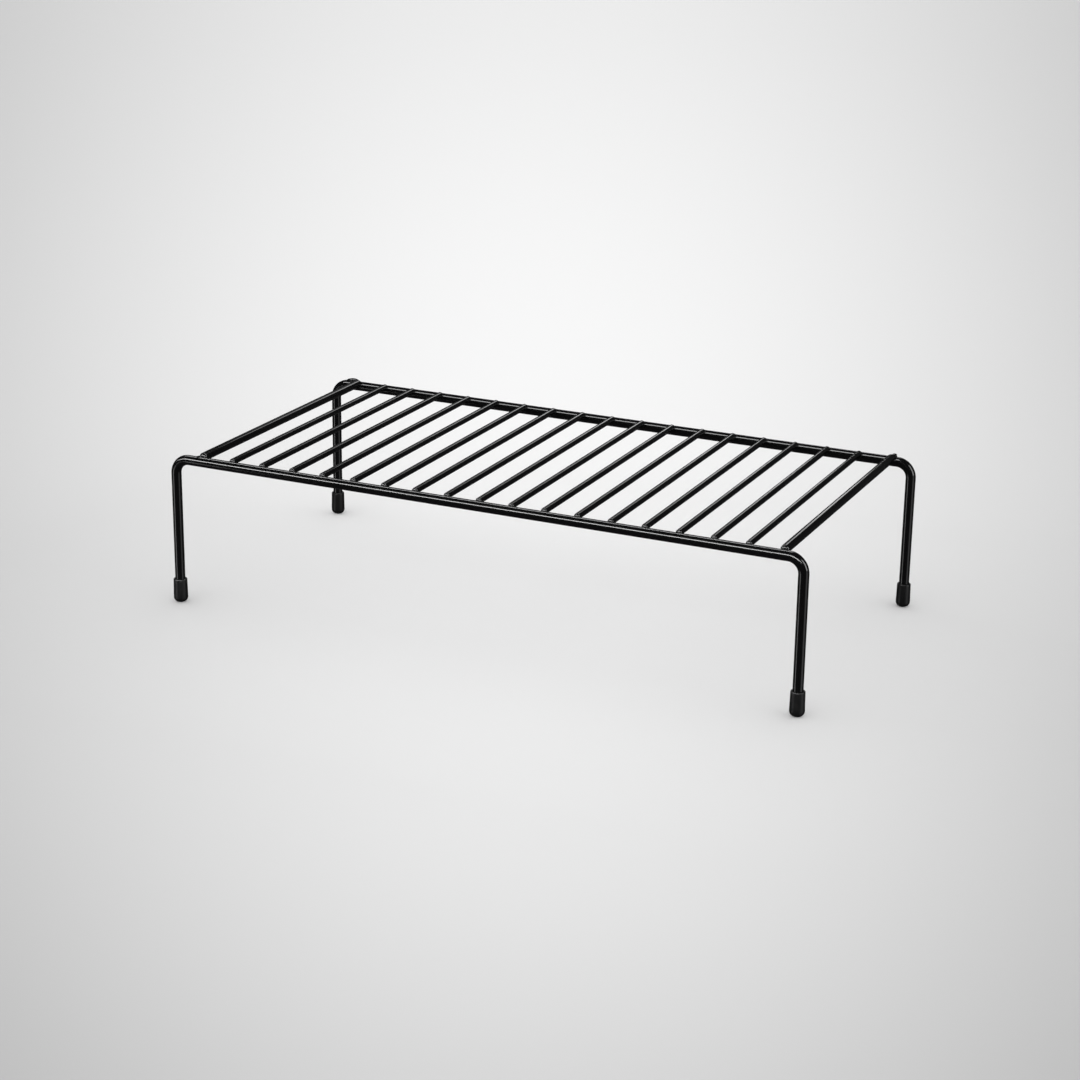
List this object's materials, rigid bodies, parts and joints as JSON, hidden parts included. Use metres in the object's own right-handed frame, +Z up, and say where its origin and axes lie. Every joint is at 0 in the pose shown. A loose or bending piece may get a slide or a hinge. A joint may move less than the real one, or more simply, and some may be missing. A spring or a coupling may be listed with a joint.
{
  "type": "wire shelf rack",
  "caption": "Black coated wire shelf rack with front and rear frames, closely spaced cross wires and push-on foot caps, for stacking things on a shelf.",
  "frame": {"origin": "on the floor, in the middle of the four feet", "axes": "+X along the rails to the right seen from the front, +Y from the front rail to the rear rail, +Z up"},
  "size_m": [0.4008, 0.1996, 0.095],
  "materials": {
    "coated_wire": "gloss black powder coat on steel wire",
    "foot_cap": "matte black"
  },
  "bodies": {
    "root": {"front_frame_wire": "coated_wire", "rear_frame_wire": "coated_wire", "cross_wire_01": "coated_wire", "cross_wire_02": "coated_wire", "cross_wire_03": "coated_wire", "cross_wire_04": "coated_wire", "cross_wire_05": "coated_wire", "cross_wire_06": "coated_wire", "cross_wire_07": "coated_wire", "cross_wire_08": "coated_wire", "cross_wire_09": "coated_wire", "cross_wire_10": "coated_wire", "cross_wire_11": "coated_wire", "cross_wire_12": "coated_wire", "cross_wire_13": "coated_wire", "cross_wire_14": "coated_wire", "cross_wire_15": "coated_wire", "cross_wire_16": "coated_wire", "cross_wire_17": "coated_wire", "cross_wire_18": "coated_wire", "cross_wire_19": "coated_wire", "foot_cap_front_left": "foot_cap", "foot_cap_front_right": "foot_cap", "foot_cap_rear_left": "foot_cap", "foot_cap_rear_right": "foot_cap"}
  },
  "joints": []
}
